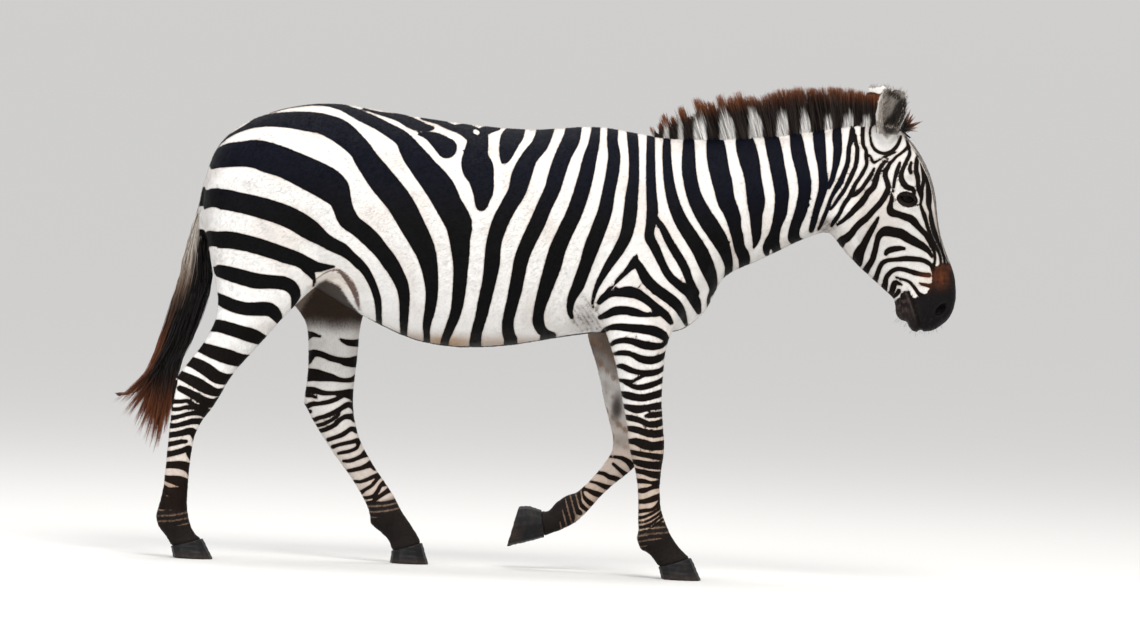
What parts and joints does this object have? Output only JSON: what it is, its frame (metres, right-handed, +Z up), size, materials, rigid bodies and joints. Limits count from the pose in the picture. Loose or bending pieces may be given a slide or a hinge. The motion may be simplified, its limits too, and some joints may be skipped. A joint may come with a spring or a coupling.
{
  "type": "plains zebra",
  "caption": "Adult plains zebra in a walking pose, three hooves on the ground and a forefoot lifted, life size, with striped coat, mane and tail.",
  "frame": {"origin": "on the ground, halfway between the tip of the tail and the muzzle and midway across the barrel", "axes": "+X forward, towards the head; +Y to the animal's left; +Z up"},
  "size_m": [2.4324, 0.5028, 1.4598],
  "materials": {
    "coat": "short dense fur, black and creamy white stripes, dusty, with a slight sheen on the black",
    "long_hair": "coarse upright and hanging hair, black and white at the base, red-brown at the tips",
    "eye": "wet, dark brown, clear gloss",
    "hoof": "grey-brown horn, scuffed and dusty, faint growth rings"
  },
  "bodies": {
    "root": {"trunk": "coat", "neck": "coat", "head": "coat", "ear_left": "coat", "ear_right": "coat", "tail_dock": "coat", "foreleg_right_upper": "coat", "foreleg_right_cannon": "coat", "foreleg_right_pastern": "coat", "foreleg_left_upper": "coat", "foreleg_left_cannon": "coat", "foreleg_left_pastern": "coat", "hindleg_right_upper": "coat", "hindleg_right_cannon": "coat", "hindleg_right_pastern": "coat", "hindleg_left_upper": "coat", "hindleg_left_cannon": "coat", "hindleg_left_pastern": "coat", "mane": "long_hair", "tail_tuft": "long_hair", "eye_left": "eye", "eye_right": "eye", "foreleg_right_hoof": "hoof", "foreleg_left_hoof": "hoof", "hindleg_right_hoof": "hoof", "hindleg_left_hoof": "hoof"}
  },
  "joints": []
}
